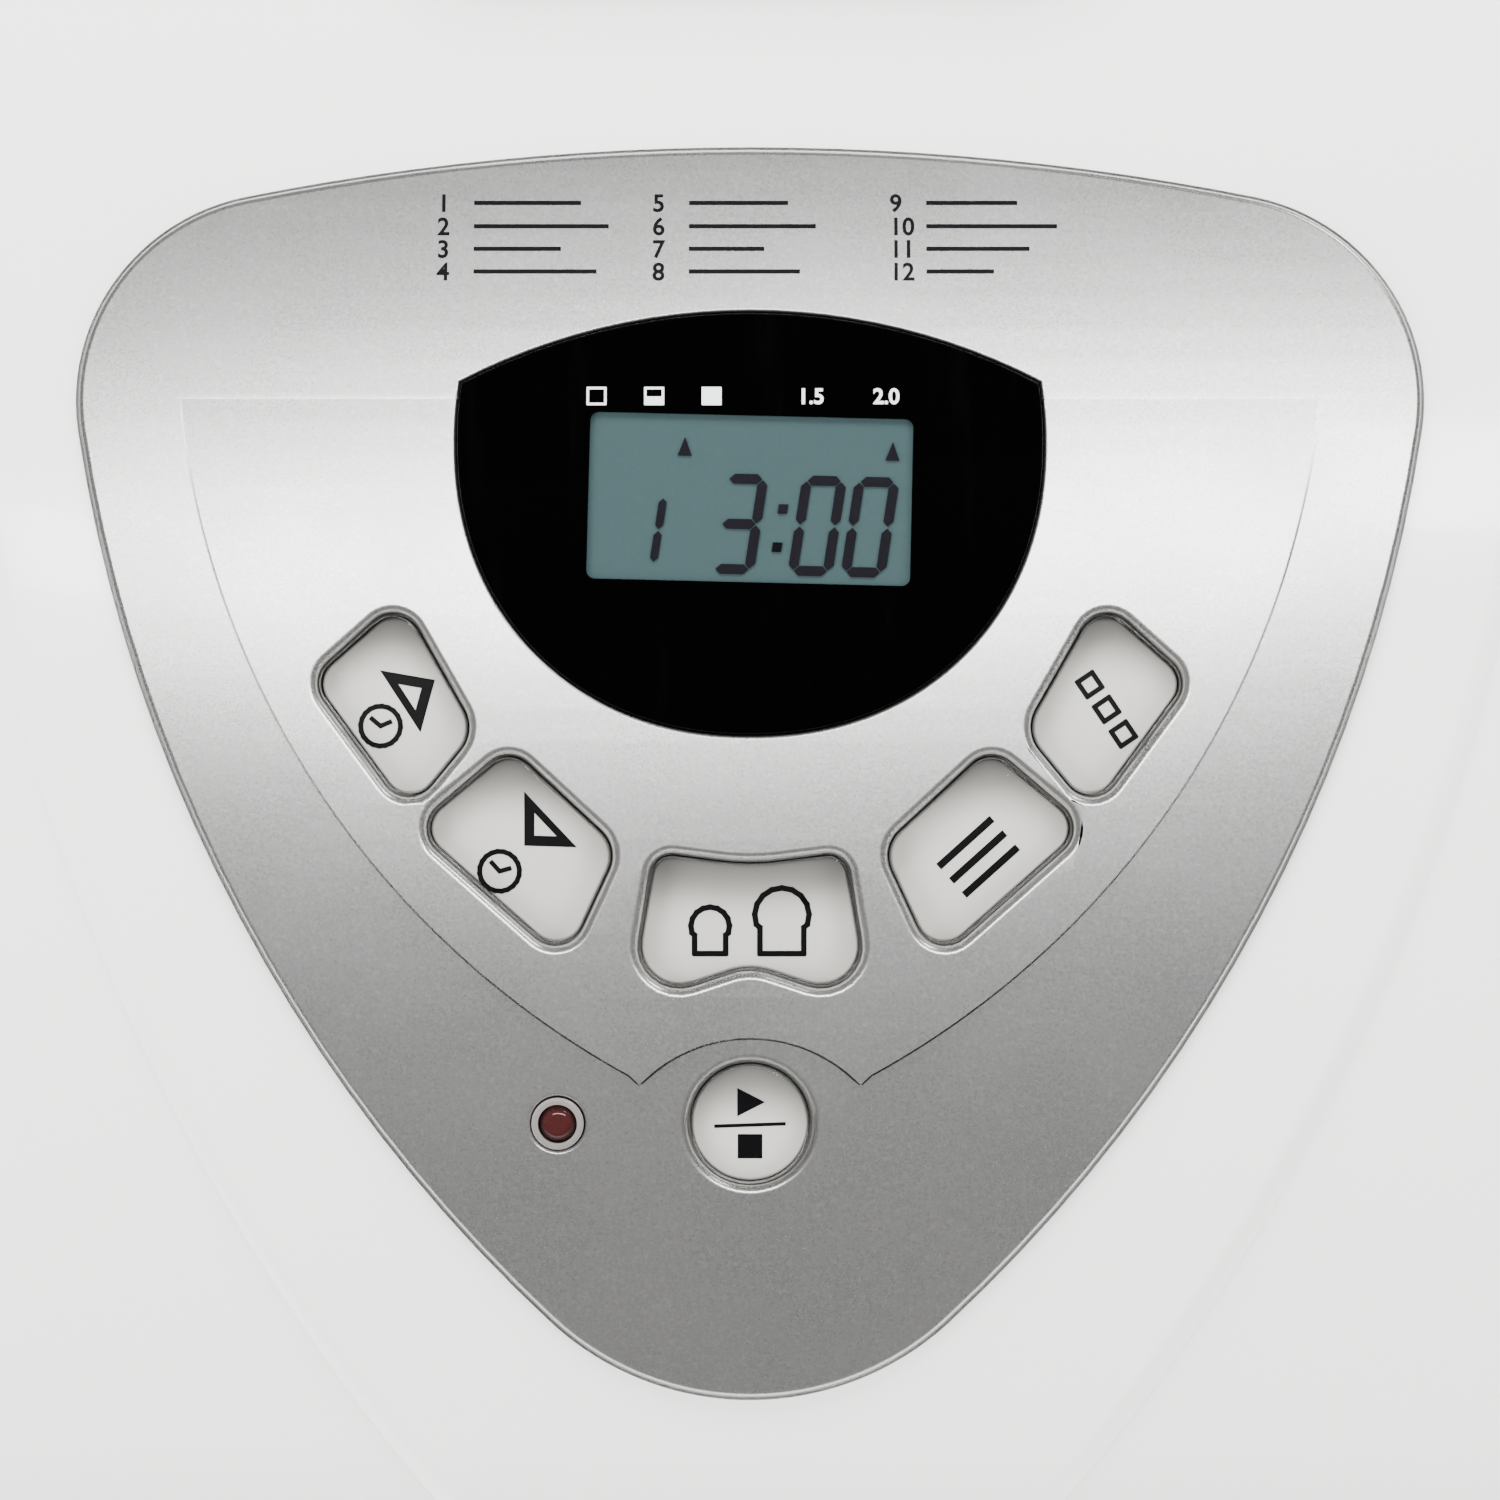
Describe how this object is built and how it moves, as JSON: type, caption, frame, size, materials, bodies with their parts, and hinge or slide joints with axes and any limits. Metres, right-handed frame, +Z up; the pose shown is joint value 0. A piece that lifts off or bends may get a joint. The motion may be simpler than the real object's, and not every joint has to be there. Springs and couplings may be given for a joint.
{
  "type": "bread machine",
  "caption": "Countertop bread machine: hinged lid with window, sloped control panel with push buttons, lift-out pan with kneading paddle, belt drive below.",
  "frame": {"origin": "centre of the bounding box's bottom face, on the surface that the feet stand on", "axes": "+Z up, -Y towards the control panel at the front, +X to the right as seen from the front"},
  "size_m": [0.27, 0.362, 0.29],
  "materials": {
    "white_plastic": "glossy",
    "dark_plastic": "satin",
    "foot_rubber": "matte",
    "belt_rubber": "matte",
    "seal_silicone": "matte",
    "silver_paint": "metallic silver paint",
    "lens_black": "glossy",
    "lcd_grey": "satin",
    "clear_cap": "glossy, printed below a clear cap",
    "led_red": "glossy",
    "board_green": "satin",
    "switch_black": "satin",
    "zinc_steel": "zinc plated",
    "motor_steel": "stacked sheets",
    "shaft_steel": "ground",
    "element_steel": "dull dark",
    "ceramic_white": "matte",
    "cast_alloy": "cast",
    "bronze": "sintered",
    "window_glass": "clear",
    "nonstick": "non-stick coating",
    "fan_plastic": "satin"
  },
  "bodies": {
    "housing": {"body_shell": "white_plastic", "rim_frame": "white_plastic", "rear_cover": "white_plastic", "base_tray": "dark_plastic", "foot_front_left": "foot_rubber", "foot_front_right": "foot_rubber", "foot_rear_left": "foot_rubber", "foot_rear_right": "foot_rubber", "base_screws": "zinc_steel", "control_bezel": "silver_paint", "display_lens": "lens_black", "lcd_module": "lcd_grey", "indicator_ring": "clear_cap", "indicator_led": "led_red", "control_board": "board_green", "tact_switches": "switch_black", "board_screws": "zinc_steel", "oven_chamber": "zinc_steel", "heating_element": "element_steel", "element_clips": "zinc_steel", "element_bushes": "ceramic_white", "temperature_sensor": "zinc_steel", "thermal_fuse": "ceramic_white", "pan_seat": "zinc_steel", "bearing_housing": "cast_alloy", "shaft_bushes": "bronze", "drive_belt": "belt_rubber", "motor_stator": "motor_steel", "motor_end_caps": "cast_alloy", "motor_bracket": "zinc_steel", "motor_capacitor": "cast_alloy", "power_board": "board_green", "transformer": "switch_black", "cord_gland": "white_plastic", "hinge_brackets": "white_plastic", "hinge_pins": "zinc_steel"},
    "lid": {"lid_shell": "white_plastic", "lid_knuckles": "white_plastic", "lid_liner": "zinc_steel", "lid_window": "window_glass", "inner_window": "window_glass", "lid_seal": "seal_silicone", "lid_handle": "white_plastic"},
    "time_up": {"time_up_button": "clear_cap"},
    "time_down": {"time_down_button": "clear_cap"},
    "crust": {"crust_button": "clear_cap"},
    "menu": {"menu_button": "clear_cap"},
    "loaf_size": {"loaf_size_button": "clear_cap"},
    "start_stop": {"start_stop_button": "clear_cap"},
    "pan": {"bread_pan": "nonstick", "pan_base_ring": "zinc_steel", "pan_bush": "bronze", "pan_ears": "zinc_steel"},
    "bail": {"pan_handle": "shaft_steel"},
    "paddle_shaft": {"pan_shaft": "shaft_steel", "pan_coupler": "dark_plastic", "kneading_paddle": "nonstick"},
    "drive": {"drive_shaft": "shaft_steel", "drive_dog": "dark_plastic", "drive_pulley": "dark_plastic"},
    "motor": {"motor_rotor": "shaft_steel", "motor_pulley": "cast_alloy", "motor_fan": "fan_plastic"}
  },
  "joints": [
    {"name": "lid_open", "type": "hinge", "parent": "housing", "child": "lid", "pos_m": [0, 0.1752, 0.242], "axis": [-1, 0, 0], "range_deg": [0, 95]},
    {"name": "time_up_press", "type": "slide", "parent": "housing", "child": "time_up", "axis": [0, 0.6225, -0.7826], "range_m": [0, 0.001], "stiffness_N_per_m": 400, "springref_m": -0.001},
    {"name": "time_down_press", "type": "slide", "parent": "housing", "child": "time_down", "axis": [0, 0.6225, -0.7826], "range_m": [0, 0.001], "stiffness_N_per_m": 400, "springref_m": -0.001},
    {"name": "crust_press", "type": "slide", "parent": "housing", "child": "crust", "axis": [0, 0.6225, -0.7826], "range_m": [0, 0.001], "stiffness_N_per_m": 400, "springref_m": -0.001},
    {"name": "menu_press", "type": "slide", "parent": "housing", "child": "menu", "axis": [0, 0.6225, -0.7826], "range_m": [0, 0.001], "stiffness_N_per_m": 400, "springref_m": -0.001},
    {"name": "loaf_size_press", "type": "slide", "parent": "housing", "child": "loaf_size", "axis": [0, 0.6225, -0.7826], "range_m": [0, 0.001], "stiffness_N_per_m": 400, "springref_m": -0.001},
    {"name": "start_stop_press", "type": "slide", "parent": "housing", "child": "start_stop", "axis": [0, 0.6225, -0.7826], "range_m": [0, 0.001], "stiffness_N_per_m": 400, "springref_m": -0.001},
    {"name": "pan_lift", "type": "slide", "parent": "housing", "child": "pan", "axis": [0, 0, 1], "range_m": [0, 0.014]},
    {"name": "bail_lift", "type": "hinge", "parent": "pan", "child": "bail", "pos_m": [0, 0.073, 0.206], "axis": [-1, 0, 0], "range_deg": [0, 15]},
    {"name": "paddle_turn", "type": "hinge", "parent": "pan", "child": "paddle_shaft", "pos_m": [0, 0.073, 0.1], "axis": [0, 0, 1], "continuous": true},
    {"name": "drive_turn", "type": "hinge", "parent": "housing", "child": "drive", "pos_m": [0, 0.073, 0.03], "axis": [0, 0, 1], "continuous": true},
    {"name": "motor_turn", "type": "hinge", "parent": "housing", "child": "motor", "pos_m": [0, -0.06, 0.06], "axis": [0, 0, 1], "continuous": true}
  ],
  "couplings": [
    {"joint": "motor_turn", "follows": "drive_turn", "ratio": 6.25},
    {"joint": "paddle_turn", "follows": "drive_turn", "ratio": 1}
  ]
}
